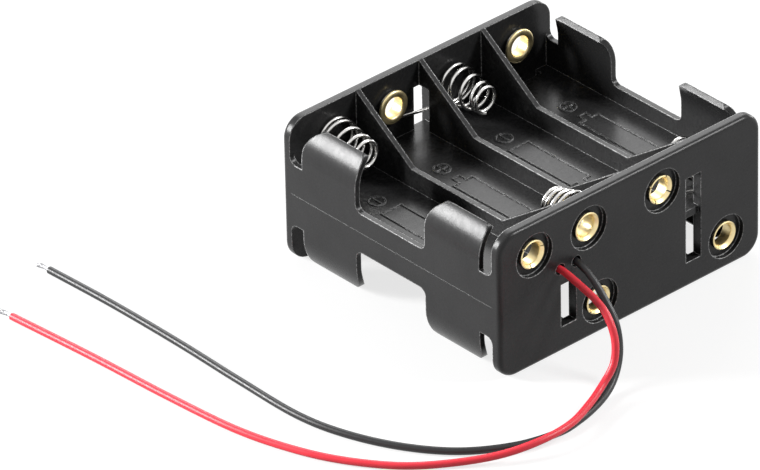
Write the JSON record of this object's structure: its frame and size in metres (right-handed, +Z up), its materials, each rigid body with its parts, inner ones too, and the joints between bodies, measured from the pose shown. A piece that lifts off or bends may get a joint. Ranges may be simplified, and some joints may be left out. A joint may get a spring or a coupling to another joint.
{
  "type": "cylindrical cell holder",
  "caption": "Open moulded tray that holds round cells in two back-to-back layers, with coil springs, brass eyelets and two flying leads with bare ends.",
  "frame": {"origin": "centre of the rectangle that the moulding stands on, at its lowest level", "axes": "+X across the bays to the right, +Y along the cells towards the end plate without leads, +Z up"},
  "size_m": [0.113, 0.1079, 0.0296],
  "materials": {
    "black_plastic": "moulded, semi-gloss",
    "spring_wire": "bright nickel plate",
    "brass": "bright, rolled",
    "red_insulation": "satin PVC",
    "black_insulation": "satin PVC",
    "tinned_strands": "tinned copper strands, twisted"
  },
  "bodies": {
    "root": {"holder_body": "black_plastic", "spring_top_1": "spring_wire", "spring_top_2": "spring_wire", "spring_top_3": "spring_wire", "spring_top_4": "spring_wire", "spring_bottom_1": "spring_wire", "spring_bottom_2": "spring_wire", "spring_bottom_3": "spring_wire", "spring_bottom_4": "spring_wire", "eyelet_top_1": "brass", "eyelet_top_2": "brass", "eyelet_top_3": "brass", "eyelet_top_4": "brass", "eyelet_bottom_1": "brass", "eyelet_bottom_2": "brass", "eyelet_bottom_3": "brass", "eyelet_bottom_4": "brass", "eyelet_black_lead": "brass", "red_lead": "red_insulation", "black_lead": "black_insulation", "red_strands": "tinned_strands", "black_strands": "tinned_strands"}
  },
  "joints": []
}
